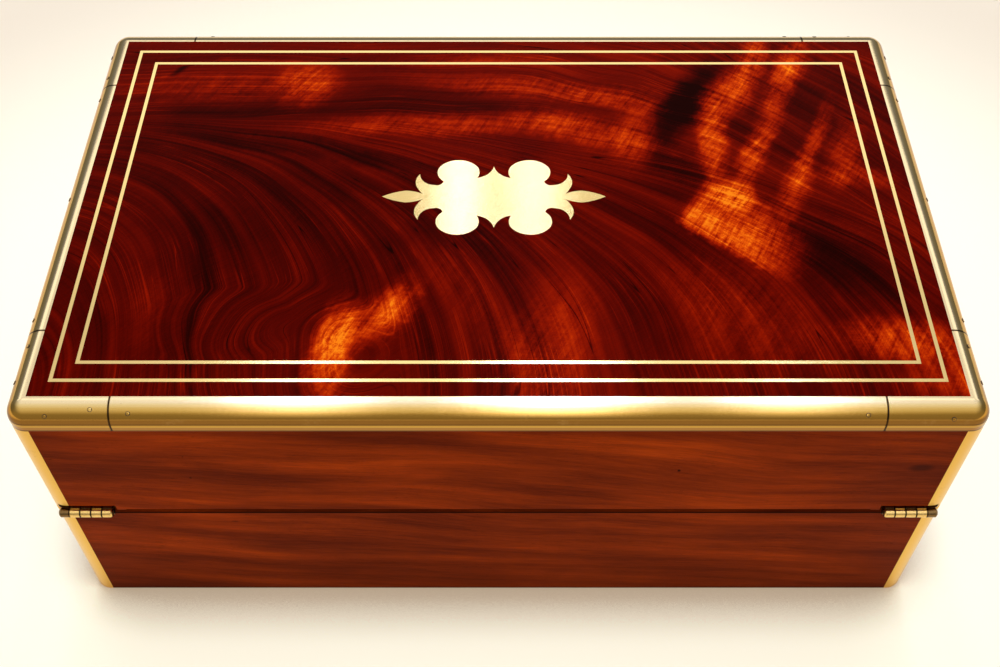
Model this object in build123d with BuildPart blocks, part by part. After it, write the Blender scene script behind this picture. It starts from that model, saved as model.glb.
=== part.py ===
from build123d import *
import os
from math import atan, cos, degrees, sin

# A brass-bound mahogany writing slope, closed.
#
# The case is cut in two by a sloping joint, and the halves are hinged along the low side of the cut.
# The lid folds over through half a turn and lies beside the base, so the two rims make one long desk.
# Each half is a shallow box with a leather-lined flap let into its rim.  Beyond the base flap are a
# pen tray and two inkwells in a row of cells, and the lock is let into the wall behind them.
#
# X runs along the width, +Y from the hinges to the lock, +Z up, and the origin is under the middle of
# the base.  Sizes are in millimetres.

os.makedirs("parts", exist_ok=True)

# ---- the case
case_width = 406.0
case_depth = 246.0
case_height = 154.0
lid_height_at_lock = 30.0
wall = 9.5
bottom_thickness = 8.0
top_thickness = 8.0
rim_gap_at_hinges = 2.8      # between the rims of base and lid, closed
rim_gap_at_lock = 0.7
foot_bevel = 0.8             # the bottom edge of the case is just eased

# ---- brass binding: one form, as thick as the sawn veneer, so both lie on one bed
edge_radius = 8.5
skin_thickness = 1.6
bed_bevel = 5.4              # the wood is planed off under the brass, which is thicker over the edges
band_on_top = 9.5
band_on_side = 11.4
strip_width = 9.4
cap_arm = 44.0               # each corner cap runs this far along its two edges
brass_joint = 0.15           # open joint between neighbouring pieces of brass

# ---- inlay
line_width = 1.6
outer_line_inset = 17.7
inner_line_inset = 27.0
cartouche_length = 104.4
cartouche_height = 48.4
cartouche_x = -2.1           # the plate sits a little off the middle of the top
cartouche_y = 0.5

# ---- hinges
hinge_proud = 0.6            # the pin's axis stands this far outside the wall
knuckle_radius = 2.2
knuckle_count = 5
knuckle_pitch = 4.9
knuckle_gap = 0.3
knuckle_bevel = 0.7
hinge_inset = 4.0            # from the end of the case to the end of the barrel
hinge_pin_radius = 1.1
leaf_thickness = 1.1
leaf_depth = 7.6
barrel_clearance = 0.35
barrel_notch_height = 3.6    # the lid is cut away above the barrel
barrel_notch_depth = 1.8
barrel_notch_end = 1.8
rim_relief_height = 0.6      # the lid's outer arris is planed back between the hinges
rim_relief_depth = 1.4
rim_relief_end = 6.0         # and this stops short of the barrels
running_clearance = 0.05     # radial, of a pin in its bore

# ---- flaps and leather
flap_thickness = 6.5
flap_clearance = 0.4
flap_border = 16.0           # bare wood beyond the leather, at a flap's free edge
leather_thickness = 0.8
leather_lip = 2.5            # wood left outside the leather on a hinge wall's rim
leather_to_hinge = 3.0
ledge_size = 6.0
ledge_setback = 3.0          # a flap dips a little behind its pivot as it starts to lift
pull_tab_width = 14.0
pull_tab_overhang = 9.0

# ---- pen section
cell_size = 48.0
partition_thickness = 5.0
divider_thickness = 4.0
pen_section_drop = 44.4      # from the rim at the partition down to the floor of the cells
cell_floor_thickness = 5.0
tray_clearance = 0.3
tray_height = 27.0
trough_width = 36.0
trough_depth = 17.0
trough_round = 12.0
nib_well_length = 44.0
nib_well_depth = 14.0
nib_well_corner = 8.0
tray_land = 9.0
tray_bevel = 1.2

# ---- inkwells
inkwell_size = 43.0
inkwell_height = 28.0
inkwell_corner = 5.0
inkwell_shoulder = 2.5
inkwell_floor = 7.0
inkwell_bore_radius = 8.5
neck_radius = 11.0
neck_height = 6.0
collar_radius = 13.0
collar_height = 5.0
cap_radius = 13.0
cap_thickness = 1.2
cap_step = 2.6               # the width of the cap's edge, round its raised middle
cap_crown = 2.2              # the middle of the cap stands this far above its edge
cap_lift = 0.3               # between the neck and the cap
cap_axle_radius = 0.9
cap_knuckle_radius = 1.9
cap_knuckle_width = 6.0
cap_ear_width = 2.4
cap_reach = 15.6             # from the cap's centre to its hinge

# ---- lock
lock_width = 56.0
lock_height = 32.0
lock_thickness = 7.0
lock_plate = 1.0
selvedge_width = 68.0
selvedge_depth = 8.0
selvedge_thickness = 1.5
hook_x = 12.0
hook_thickness = 2.4
hook_depth = 2.2
hook_reach = 10.0
hook_nose = 4.0
hook_nose_height = 2.2
hook_back_clearance = 0.4
hook_swing = 2.0             # room in the slots for the arc that the hooks leave on
hook_clearance = 0.5
bolt_clearance = 0.35
bolt_bar_height = 3.4
bolt_post_width = 3.0
bolt_tooth_height = 2.2
bolt_rest_gap = 0.6
bolt_throw = 4.2
talon_width = 5.0
talon_depth = 1.4
bolt_rail_height = 2.0
bolt_rail_length = 8.0
bolt_rail_x = 17.0
key_drop = 6.5               # from the bolt down to the key's axis
keyhole_radius = 2.5
keyhole_slot_width = 2.2
keyhole_slot_length = 6.0
key_post_radius = 1.0
escutcheon_width = 15.0
escutcheon_height = 24.0
escutcheon_thickness = 1.2

# ---- turn catches
catch_x = 112.0
catch_reach = 11.0
catch_width = 6.0
catch_thickness = 1.4
catch_sunk = 0.1
catch_clearance = 0.5
catch_pin_radius = 1.3
catch_pin_length = 7.0
catch_setback = 4.6          # from the wall's inner face to the catch's pin

# ---- worked out from the above
half_width = case_width / 2
half_depth = case_depth / 2
inner_x = half_width - wall
inner_y = half_depth - wall
axis_y = -half_depth - hinge_proud
axis_z = case_height / 2     # half height, so the opened lid lies level on the table
skin_bed = case_height - skin_thickness
band_bottom = case_height - band_on_side
partition_y = inner_y - cell_size
cell_y = inner_y - cell_size / 2


class Rim:
    """The sloping plane on which the walls of one half end."""

    def __init__(self, at_hinges, at_lock):
        self.at_hinges = at_hinges
        self.grade = (at_lock - at_hinges) / case_depth
        self.slope = atan(self.grade)

    def height(self, y):
        return self.at_hinges + (y + half_depth) * self.grade

    def upright(self, thickness):
        """The upright height of a slab that lies along the rim with this thickness."""
        return thickness / cos(self.slope)

    def plane(self, x, y):
        """A workplane on the rim, its normal upwards."""
        normal = (0, -sin(self.slope), cos(self.slope))
        return Plane(origin=(x, y, self.height(y)), x_dir=(1, 0, 0), z_dir=normal)


joint_at_lock = case_height - lid_height_at_lock
base_rim = Rim(axis_z - rim_gap_at_hinges / 2, joint_at_lock - rim_gap_at_lock / 2)
lid_rim = Rim(axis_z + rim_gap_at_hinges / 2, joint_at_lock + rim_gap_at_lock / 2)
cell_floor_top = base_rim.height(partition_y) - pen_section_drop


def save(piece, name):
    piece.part.label = name
    export_step(piece.part, f"parts/{name}.step")


def block(x_range, y_range, z_range):
    """A rectangular block between three pairs of planes."""
    with BuildPart() as solid:
        with BuildSketch(Plane.XY.offset(z_range[0])):
            with Locations((sum(x_range) / 2, sum(y_range) / 2)):
                Rectangle(x_range[1] - x_range[0], y_range[1] - y_range[0])
        extrude(amount=z_range[1] - z_range[0])
    return solid.part


def sloped(rim, x_range, y_range, low, high):
    """A slab with upright ends between two heights measured from a rim."""
    y0, y1 = y_range
    with BuildPart() as slab:
        with BuildSketch(Plane.YZ.offset(x_range[0])):
            with BuildLine():
                Polyline(
                    (y0, rim.height(y0) + low),
                    (y1, rim.height(y1) + low),
                    (y1, rim.height(y1) + high),
                    (y0, rim.height(y0) + high),
                    close=True,
                )
            make_face()
        extrude(amount=x_range[1] - x_range[0])
    return slab.part


def along_x(centre_x, y, z, radius, length):
    """A cylinder along X, about a point."""
    with BuildPart() as rod:
        with BuildSketch(Plane.YZ.offset(centre_x - length / 2)):
            with Locations((y, z)):
                Circle(radius)
        extrude(amount=length)
    return rod.part


# ======================================================== the closed case, and the bed of its brass
with BuildPart() as case_form:
    with BuildSketch():
        RectangleRounded(case_width, case_depth, edge_radius)
    extrude(amount=case_height)
    fillet(case_form.faces().sort_by(Axis.Z)[-1].edges(), radius=edge_radius)
    chamfer(case_form.faces().sort_by(Axis.Z)[0].edges(), length=foot_bevel)

with BuildPart() as bed_form:
    with BuildSketch():
        Rectangle(case_width - 2 * skin_thickness, case_depth - 2 * skin_thickness)
    extrude(amount=skin_bed)
    chamfer(bed_form.edges().filter_by(Axis.Z), length=bed_bevel)
    chamfer(bed_form.faces().sort_by(Axis.Z)[-1].edges(), length=bed_bevel)

with BuildPart() as brass_skin:
    add(case_form.part)
    add(bed_form.part, mode=Mode.SUBTRACT)

# The band round the top edge, still in one piece: the skin without the middle of the top.
field_x = half_width - band_on_top
field_y = half_depth - band_on_top
with BuildPart() as top_band:
    add(brass_skin.part)
    with BuildSketch(Plane.XY.offset(band_bottom)):
        Rectangle(case_width, case_depth)
    extrude(amount=band_on_side, mode=Mode.INTERSECT)
    with BuildSketch(Plane.XY.offset(case_height)):
        Rectangle(2 * field_x, 2 * field_y)
    extrude(amount=-skin_thickness, mode=Mode.SUBTRACT)

# The four upright corner strips at full height, and all the brass together.
with BuildPart() as corner_strips:
    add(brass_skin.part)
    with BuildSketch():
        with GridLocations(case_width - strip_width, case_depth - strip_width, 2, 2):
            Rectangle(strip_width, strip_width)
    extrude(amount=band_bottom, mode=Mode.INTERSECT)

with BuildPart() as all_brass:
    add(top_band.part)
    add(corner_strips.part)


def half_case(rim, far_z):
    """The space between a rim and the foot or the top of the case."""
    reach = case_depth
    with BuildPart() as space:
        with BuildSketch(Plane.YZ):
            with BuildLine():
                Polyline(
                    (-reach, rim.height(-reach)),
                    (reach, rim.height(reach)),
                    (reach, far_z),
                    (-reach, far_z),
                    close=True,
                )
            make_face()
        extrude(amount=case_width, both=True)
    return space.part


base_half = half_case(base_rim, -1.0)
lid_half = half_case(lid_rim, case_height + 1.0)

# ======================================================== what is let into the rims
sides = {"left": -1, "right": 1}
barrel_length = knuckle_count * knuckle_pitch
barrel_x = half_width - hinge_inset - barrel_length / 2
barrel_inner_x = barrel_x - barrel_length / 2
leather_half_width = barrel_inner_x - leather_to_hinge
leaf_span_y = (-half_depth, -half_depth + leaf_depth)


def leaf_slab(rim, into, side):
    """The flat of a hinge leaf; into is 1 where it lies above its rim and -1 where it lies below."""
    span = (side * barrel_x - barrel_length / 2, side * barrel_x + barrel_length / 2)
    depth = into * rim.upright(leaf_thickness)
    return sloped(rim, span, leaf_span_y, min(0, depth), max(0, depth))


def hinge_seats(rim, into):
    """Everything that the two hinges need cut away from one half."""
    with BuildPart() as seats:
        for side in sides.values():
            add(leaf_slab(rim, into, side))
            turning_length = barrel_length + 2 * barrel_clearance
            add(along_x(side * barrel_x, axis_y, axis_z, knuckle_radius + barrel_clearance, turning_length))
    return seats.part


def barrel_notches():
    """Where the lid is cut away above the barrels and along the arris between them."""
    relief_x = barrel_inner_x - rim_relief_end
    relief_y = (-half_depth - hinge_proud, -half_depth + rim_relief_depth)
    with BuildPart() as notches:
        add(block((-relief_x, relief_x), relief_y, (axis_z, lid_rim.at_hinges + rim_relief_height)))
        for side in sides.values():
            outer = side * (barrel_x + barrel_length / 2)
            inner = side * (barrel_inner_x - barrel_notch_end)
            span = (min(outer, inner), max(outer, inner))
            depth = (-half_depth - hinge_proud, -half_depth + barrel_notch_depth)
            add(block(span, depth, (axis_z, lid_rim.at_hinges + barrel_notch_height)))
    return notches.part


def leather_fold(rim, into):
    """The leather between the hinges that is glued to a hinge wall's rim and carries a flap."""
    depth = into * rim.upright(leather_thickness)
    span = (-leather_half_width, leather_half_width)
    reach = (-half_depth + leather_lip, -inner_y)
    return sloped(rim, span, reach, min(0, depth), max(0, depth))


base_fold_solid = leather_fold(base_rim, -1)
lid_fold_solid = leather_fold(lid_rim, 1)
base_hinge_seats = hinge_seats(base_rim, -1)
lid_hinge_seats = hinge_seats(lid_rim, 1)
lid_notches = barrel_notches()

# The selvedge of the lock and the plate of its hooks are one outline on the two rims.
selvedge_span = (-selvedge_width / 2, selvedge_width / 2)
selvedge_reach = (inner_y, inner_y + selvedge_depth)
lock_top = base_rim.height(inner_y)
lock_bottom = lock_top - lock_height
lock_back = inner_y + lock_thickness

with BuildPart() as lock_form:
    add(block((-lock_width / 2, lock_width / 2), (inner_y, lock_back), (lock_bottom, case_height)))
    add(base_half, mode=Mode.INTERSECT)
    depth = -base_rim.upright(selvedge_thickness)
    add(sloped(base_rim, selvedge_span, selvedge_reach, depth, 0))

hook_plate_solid = sloped(
    lid_rim, selvedge_span, selvedge_reach, 0, lid_rim.upright(selvedge_thickness)
)

# Heights and depths inside the lock, from the hooks downwards.
cavity_y = (inner_y + lock_plate, lock_back - lock_plate)
hook_y1 = cavity_y[1] - hook_back_clearance
hook_y0 = hook_y1 - hook_depth
hook_tip = lock_top - hook_reach
tooth_bottom = hook_tip + hook_nose_height + bolt_clearance
bar_top = hook_tip - hook_clearance
bar_bottom = bar_top - bolt_bar_height
key_z = bar_bottom - key_drop


def keyhole(y0, y1):
    """A keyhole through everything from y0 to y1: a round eye with a slot below it."""
    with BuildPart() as opening:
        with BuildSketch(Plane.XZ.offset(-y1)):
            with Locations((0, key_z)):
                Circle(keyhole_radius)
            with Locations((0, key_z - keyhole_slot_length / 2)):
                Rectangle(keyhole_slot_width, keyhole_slot_length)
        extrude(amount=y1 - y0)
    return opening.part


with BuildPart() as escutcheon:
    with BuildSketch(Plane.XZ.offset(-half_depth)):
        with Locations((0, key_z - keyhole_slot_length / 2)):
            Ellipse(escutcheon_width / 2, escutcheon_height / 2)
    extrude(amount=escutcheon_thickness)
escutcheon_solid = escutcheon.part

# The turn catches lie in round-ended mortises that reach from the lid's lock wall into its flap.
catch_y = inner_y + catch_setback


def catch_mortise(side):
    """The recess that a catch sweeps, in the lid's rim and in the flap, with the hole for its pin."""
    mouth = lid_rim.plane(side * catch_x, catch_y).offset(-catch_clearance)
    recess = catch_sunk + catch_thickness + 2 * catch_clearance
    radius = catch_reach + catch_clearance
    with BuildPart() as mortise:
        with BuildSketch(mouth):
            Circle(radius)
            with Locations((0, catch_width / 2 + catch_clearance - radius)):
                Rectangle(2 * radius, 2 * radius, mode=Mode.INTERSECT)
        extrude(amount=recess)
        with BuildSketch(mouth):
            Circle(catch_pin_radius + running_clearance)
        extrude(amount=recess + catch_pin_length)
    return mortise.part


catch_mortises = [catch_mortise(side) for side in sides.values()]


# ======================================================== walls and boards
def board(name, x_range, y_range, z_range, half, seats=()):
    """A plank of the case: cut to one half, rounded as the case is, and rebated for what it carries."""
    with BuildPart() as plank:
        add(case_form.part)
        add(block(x_range, y_range, z_range), mode=Mode.INTERSECT)
        add(half, mode=Mode.INTERSECT)
        add(all_brass.part, mode=Mode.SUBTRACT)
        for seat in seats:
            add(seat, mode=Mode.SUBTRACT)
    save(plank, name)


full_x = (-half_width, half_width)
full_y = (-half_depth, half_depth)
between_walls = (-inner_y, inner_y)
hinge_wall_y = (-half_depth, -inner_y)
lock_wall_y = (inner_y, half_depth)
base_wall_z = (0, case_height)
top_underside = case_height - top_thickness
lid_wall_z = (0, top_underside)

board("base_bottom", (-inner_x, inner_x), between_walls, (0, bottom_thickness), base_half)
board("base_hinge_wall", full_x, hinge_wall_y, base_wall_z, base_half, [base_hinge_seats, base_fold_solid])
lock_seats = [lock_form.part, escutcheon_solid, keyhole(lock_back, half_depth)]
board("base_lock_wall", full_x, lock_wall_y, base_wall_z, base_half, lock_seats)
lid_hinge_wall_seats = [lid_hinge_seats, lid_notches, lid_fold_solid]
board("lid_hinge_wall", full_x, hinge_wall_y, lid_wall_z, lid_half, lid_hinge_wall_seats)
board("lid_lock_wall", full_x, lock_wall_y, lid_wall_z, lid_half, [hook_plate_solid, *catch_mortises])
for side_name, side in sides.items():
    wall_x = tuple(sorted((side * half_width, side * inner_x)))
    board(f"base_{side_name}_wall", wall_x, between_walls, base_wall_z, base_half)
    board(f"lid_{side_name}_wall", wall_x, between_walls, lid_wall_z, lid_half)

veneer_solid = block((-field_x, field_x), (-field_y, field_y), (skin_bed, case_height))
board("lid_top_board", full_x, full_y, (top_underside, case_height), lid_half, [veneer_solid])


# ======================================================== brass binding
def corner_strip(name, side_x, side_y, half, seats):
    """One upright corner strip of one half, short of the cap above it by the brass joint."""
    x_range = tuple(sorted((0, side_x * half_width)))
    y_range = tuple(sorted((0, side_y * half_depth)))
    with BuildPart() as strip:
        add(corner_strips.part)
        add(block(x_range, y_range, (0, band_bottom - brass_joint)), mode=Mode.INTERSECT)
        add(half, mode=Mode.INTERSECT)
        for seat in seats:
            add(seat, mode=Mode.SUBTRACT)
    save(strip, name)


ends = {"hinge": -1, "lock": 1}
for side_name, side_x in sides.items():
    for end_name, side_y in ends.items():
        at_hinge = end_name == "hinge"
        base_seats = [base_hinge_seats] if at_hinge else []
        lid_seats = [lid_hinge_seats, lid_notches] if at_hinge else []
        corner_strip(f"base_strip_{end_name}_{side_name}", side_x, side_y, base_half, base_seats)
        corner_strip(f"lid_strip_{end_name}_{side_name}", side_x, side_y, lid_half, lid_seats)

cap_x = half_width - cap_arm
cap_y = half_depth - cap_arm


def band_piece(name, x_range, y_range):
    """One piece of the top band, between two pairs of upright planes."""
    with BuildPart() as piece:
        add(top_band.part)
        add(block(x_range, y_range, (band_bottom, case_height)), mode=Mode.INTERSECT)
    save(piece, name)


for side_name, side_x in sides.items():
    arm_x = tuple(sorted((side_x * cap_x, side_x * half_width)))
    for end_name, side_y in ends.items():
        arm_y = tuple(sorted((side_y * cap_y, side_y * half_depth)))
        band_piece(f"lid_cap_{end_name}_{side_name}", arm_x, arm_y)
    band_piece(f"lid_band_{side_name}", arm_x, (-cap_y + brass_joint, cap_y - brass_joint))
for end_name, side_y in ends.items():
    arm_y = tuple(sorted((side_y * cap_y, side_y * half_depth)))
    band_piece(f"lid_band_{end_name}", (-cap_x + brass_joint, cap_x - brass_joint), arm_y)


# ======================================================== veneer and its inlay
def inlaid_line(name, inset):
    """A mitred rectangle of brass line, its centre this far inside the faces of the case."""
    with BuildPart() as line:
        with BuildSketch(Plane.XY.offset(skin_bed)):
            Rectangle(case_width - 2 * inset + line_width, case_depth - 2 * inset + line_width)
            inside_x = case_width - 2 * inset - line_width
            inside_y = case_depth - 2 * inset - line_width
            Rectangle(inside_x, inside_y, mode=Mode.SUBTRACT)
        extrude(amount=skin_thickness)
    save(line, name)
    return line.part


outer_line = inlaid_line("stringing_outer", outer_line_inset)
inner_line = inlaid_line("stringing_inner", inner_line_inset)


def on_plate(u, v):
    """A point of the cartouche, in parts of its half length and half height."""
    return (u * cartouche_length / 2, v * cartouche_height / 2)


with BuildPart() as cartouche:
    with BuildSketch(Plane.XY.offset(skin_bed)):
        with BuildLine():
            cusp = on_plate(0, 0.826)
            lobe_left = on_plate(0.154, 0.502)
            shoulder_left = on_plate(0.157, 0.831)
            shoulder_right = on_plate(0.487, 0.831)
            lobe_right = on_plate(0.454, 0.417)
            horn_root = on_plate(0.534, 0.310)
            horn_tip = on_plate(0.670, 0.612)
            horn_waist = on_plate(0.678, 0.198)
            neck = on_plate(0.600, 0.029)
            leaf_side = on_plate(0.789, 0.159)
            ThreePointArc(cusp, on_plate(0.061, 0.597), lobe_left)
            ThreePointArc(lobe_left, on_plate(0.132, 0.661), shoulder_left)
            ThreePointArc(shoulder_left, on_plate(0.322, 1), shoulder_right)
            ThreePointArc(shoulder_right, on_plate(0.510, 0.614), lobe_right)
            ThreePointArc(lobe_right, on_plate(0.473, 0.335), horn_root)
            ThreePointArc(horn_root, on_plate(0.631, 0.398), horn_tip)
            ThreePointArc(horn_tip, on_plate(0.705, 0.434), horn_waist)
            ThreePointArc(horn_waist, on_plate(0.650, 0.103), neck)
            ThreePointArc(neck, on_plate(0.690, 0.120), leaf_side)
            ThreePointArc(leaf_side, on_plate(0.900, 0.100), on_plate(1, 0))
            Line(on_plate(1, 0), (0, 0))
            Line((0, 0), cusp)
        make_face()
        mirror(about=Plane.YZ)
        mirror(about=Plane.XZ)
    extrude(amount=skin_thickness)
cartouche.part.position = (cartouche_x, cartouche_y, 0)
save(cartouche, "cartouche")

with BuildPart() as veneer:
    add(veneer_solid)
    for inlay in (outer_line, inner_line, cartouche.part):
        add(inlay, mode=Mode.SUBTRACT)
save(veneer, "lid_veneer")


# ======================================================== hinges
def knuckle(centre_x, is_first, is_last):
    """One knuckle; the first and the last of a barrel are bevelled at their free end."""
    with BuildPart() as roll:
        add(along_x(centre_x, axis_y, axis_z, knuckle_radius, knuckle_pitch - knuckle_gap))
        rims = roll.edges().filter_by(GeomType.CIRCLE).sort_by(Axis.X)
        if is_first:
            chamfer(rims[0], length=knuckle_bevel)
        if is_last:
            chamfer(rims[-1], length=knuckle_bevel)
    return roll.part


def hinge_leaf(name, side, rim, into, own_parity, bore_radius):
    """A leaf with every second knuckle of the barrel, its flat following the corner of the case."""
    centres = [side * barrel_x + (i - (knuckle_count - 1) / 2) * knuckle_pitch for i in range(knuckle_count)]
    with BuildPart() as leaf:
        add(leaf_slab(rim, into, side))
        add(case_form.part, mode=Mode.INTERSECT)
        for index, centre in enumerate(centres):
            if index % 2 != own_parity:
                swept = knuckle_radius + barrel_clearance
                add(along_x(centre, axis_y, axis_z, swept, knuckle_pitch + knuckle_gap), mode=Mode.SUBTRACT)
        for index, centre in enumerate(centres):
            if index % 2 == own_parity:
                add(knuckle(centre, index == 0, index == knuckle_count - 1))
        add(along_x(side * barrel_x, axis_y, axis_z, bore_radius, barrel_length), mode=Mode.SUBTRACT)
    save(leaf, name)


for side_name, side in sides.items():
    hinge_leaf(f"base_hinge_leaf_{side_name}", side, base_rim, -1, 0, hinge_pin_radius)
    loose_bore = hinge_pin_radius + running_clearance
    hinge_leaf(f"lid_hinge_leaf_{side_name}", side, lid_rim, 1, 1, loose_bore)

with BuildPart() as hinge_pins:
    for side in sides.values():
        add(along_x(side * barrel_x, axis_y, axis_z, hinge_pin_radius, barrel_length - knuckle_gap))
save(hinge_pins, "hinge_pins")


# ======================================================== leather folds, ledges and flaps
def named_solid(name, solid):
    with BuildPart() as piece:
        add(solid)
    save(piece, name)


named_solid("base_leather_fold", base_fold_solid)
named_solid("lid_leather_fold", lid_fold_solid)

partition_near = partition_y - partition_thickness
flap_near = -inner_y + flap_clearance
flap_x = (-inner_x + flap_clearance, inner_x - flap_clearance)


def ledges(name, rim, into, y_range):
    """A pair of battens on the side walls, which a flap lies on."""
    face = into * rim.upright(flap_thickness)
    depth = into * rim.upright(flap_thickness + ledge_size)
    with BuildPart() as pair:
        for side in sides.values():
            x_range = tuple(sorted((side * inner_x, side * (inner_x - ledge_size))))
            add(sloped(rim, x_range, y_range, min(face, depth), max(face, depth)))
    save(pair, name)


ledges("base_ledges", base_rim, -1, (-inner_y + ledge_setback, partition_near))
ledges("lid_ledges", lid_rim, 1, (-inner_y + ledge_setback, inner_y))


def flap(name, rim, into, far_y, cuts, tab):
    """A flap and its leather, which runs from the pivot edge to a bare border at the free edge."""
    depth = into * rim.upright(flap_thickness)
    inlay = into * rim.upright(leather_thickness)
    leather_x = (-leather_half_width, leather_half_width)
    leather_y = (flap_near, far_y - flap_border)
    with BuildPart() as leather:
        add(sloped(rim, leather_x, leather_y, min(0, inlay), max(0, inlay)))
        if tab:
            tab_x = (-pull_tab_width / 2, pull_tab_width / 2)
            add(sloped(rim, tab_x, (leather_y[1], far_y + pull_tab_overhang), min(0, inlay), max(0, inlay)))
    with BuildPart() as panel:
        add(sloped(rim, flap_x, (flap_near, far_y), min(0, depth), max(0, depth)))
        add(leather.part, mode=Mode.SUBTRACT)
        for cut in cuts:
            add(cut, mode=Mode.SUBTRACT)
    save(panel, name)
    save(leather, f"{name}_leather")


flap("base_flap", base_rim, -1, partition_y, [], tab=True)
flap("lid_flap", lid_rim, 1, inner_y - flap_clearance, catch_mortises, tab=False)

# ======================================================== pen section
with BuildPart() as partition:
    with BuildSketch(Plane.YZ):
        with BuildLine():
            under_flap = -base_rim.upright(flap_thickness)
            Polyline(
                (partition_near, bottom_thickness),
                (partition_y, bottom_thickness),
                (partition_y, base_rim.height(partition_y) + under_flap),
                (partition_near, base_rim.height(partition_near) + under_flap),
                close=True,
            )
        make_face()
    extrude(amount=inner_x, both=True)
save(partition, "base_partition")

cell_span_y = (partition_y, inner_y)
floor_z = (cell_floor_top - cell_floor_thickness, cell_floor_top)
named_solid("pen_section_floor", block((-inner_x, inner_x), cell_span_y, floor_z))

divider_x = inner_x - cell_size
divider_top = base_rim.height(partition_y) - base_rim.upright(flap_thickness)
for side_name, side in sides.items():
    divider_span = tuple(sorted((side * divider_x, side * (divider_x - divider_thickness))))
    named_solid(f"{side_name}_cell_divider", block(divider_span, cell_span_y, (cell_floor_top, divider_top)))

tray_length = 2 * (divider_x - divider_thickness - tray_clearance)
tray_width = cell_size - 2 * tray_clearance
trough_length = tray_length - nib_well_length - 3 * tray_land
tray_top = cell_floor_top + tray_height
trough_x = -tray_length / 2 + tray_land + trough_length / 2
nib_well_x = tray_length / 2 - tray_land - nib_well_length / 2


with BuildPart() as pen_tray:
    with BuildSketch(Plane.XY.offset(cell_floor_top)):
        with Locations((0, cell_y)):
            Rectangle(tray_length, tray_width)
    extrude(amount=tray_height)
    chamfer(pen_tray.faces().sort_by(Axis.Z)[-1].edges(), length=tray_bevel)
    with BuildSketch(Plane.XY.offset(tray_top)):
        with Locations((nib_well_x, cell_y)):
            RectangleRounded(nib_well_length, trough_width, nib_well_corner)
    extrude(amount=-nib_well_depth, mode=Mode.SUBTRACT)
    with BuildSketch(Plane.YZ.offset(trough_x - trough_length / 2)) as trough_section:
        with Locations((cell_y, tray_top - trough_depth / 2)):
            Rectangle(trough_width, trough_depth)
        fillet(trough_section.vertices().group_by(Axis.Y)[0], radius=trough_round)
    extrude(amount=trough_length, mode=Mode.SUBTRACT)
save(pen_tray, "pen_tray")

# ======================================================== inkwells
shoulder_z = cell_floor_top + inkwell_height
neck_top = shoulder_z + neck_height
collar_top = shoulder_z + collar_height
cap_bottom = neck_top + cap_lift
cap_axis_y = cell_y + cap_reach
cap_axis_z = cap_bottom + cap_thickness / 2


def inkwell(name, centre_x):
    """A cut glass block with a round well, and a neck that carries the brass collar."""
    with BuildPart() as glass:
        with BuildSketch(Plane.XY.offset(cell_floor_top)):
            with Locations((centre_x, cell_y)):
                Rectangle(inkwell_size, inkwell_size)
        extrude(amount=inkwell_height)
        chamfer(glass.edges().filter_by(Axis.Z), length=inkwell_corner)
        chamfer(glass.faces().sort_by(Axis.Z)[-1].edges(), length=inkwell_shoulder)
        with BuildSketch(Plane.XY.offset(shoulder_z)):
            with Locations((centre_x, cell_y)):
                Circle(neck_radius)
        extrude(amount=neck_height)
        with BuildSketch(Plane.XY.offset(neck_top)):
            with Locations((centre_x, cell_y)):
                Circle(inkwell_bore_radius)
        extrude(amount=inkwell_floor + cell_floor_top - neck_top, mode=Mode.SUBTRACT)
    save(glass, name)


def inkwell_collar(name, centre_x):
    """A ring round the neck with two ears at the back, and the axle of the cap riveted in them."""
    ear_span = cap_knuckle_width + 2 * (cap_ear_width + knuckle_gap)
    ear_y = (cell_y + neck_radius, cap_axis_y + cap_knuckle_radius)
    with BuildPart() as collar:
        with BuildSketch(Plane.XY.offset(shoulder_z)):
            with Locations((centre_x, cell_y)):
                Circle(collar_radius)
        extrude(amount=collar_height)
        with BuildSketch(Plane.YZ.offset(centre_x - ear_span / 2)):
            with Locations((cap_axis_y, cap_axis_z)):
                Circle(cap_knuckle_radius)
            with BuildLine():
                Polyline(
                    (ear_y[0], shoulder_z + collar_height / 2),
                    (ear_y[1], shoulder_z + collar_height / 2),
                    (ear_y[1], cap_axis_z),
                    (cap_axis_y - cap_knuckle_radius, cap_axis_z),
                    (ear_y[0], collar_top),
                    close=True,
                )
            make_face()
        extrude(amount=ear_span)
        with BuildSketch(Plane.XY.offset(neck_top)):
            with Locations((centre_x, cell_y)):
                Circle(neck_radius)
        extrude(amount=shoulder_z - neck_top, mode=Mode.SUBTRACT)
        slot_width = cap_knuckle_width + 2 * knuckle_gap
        slot_x = (centre_x - slot_width / 2, centre_x + slot_width / 2)
        slot_y = (cell_y + neck_radius, ear_y[1])
        slot_bottom = cap_axis_z - cap_knuckle_radius - barrel_clearance
        add(block(slot_x, slot_y, (slot_bottom, case_height)), mode=Mode.SUBTRACT)
        add(along_x(centre_x, cap_axis_y, cap_axis_z, cap_axle_radius, ear_span))
    save(collar, name)


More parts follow.
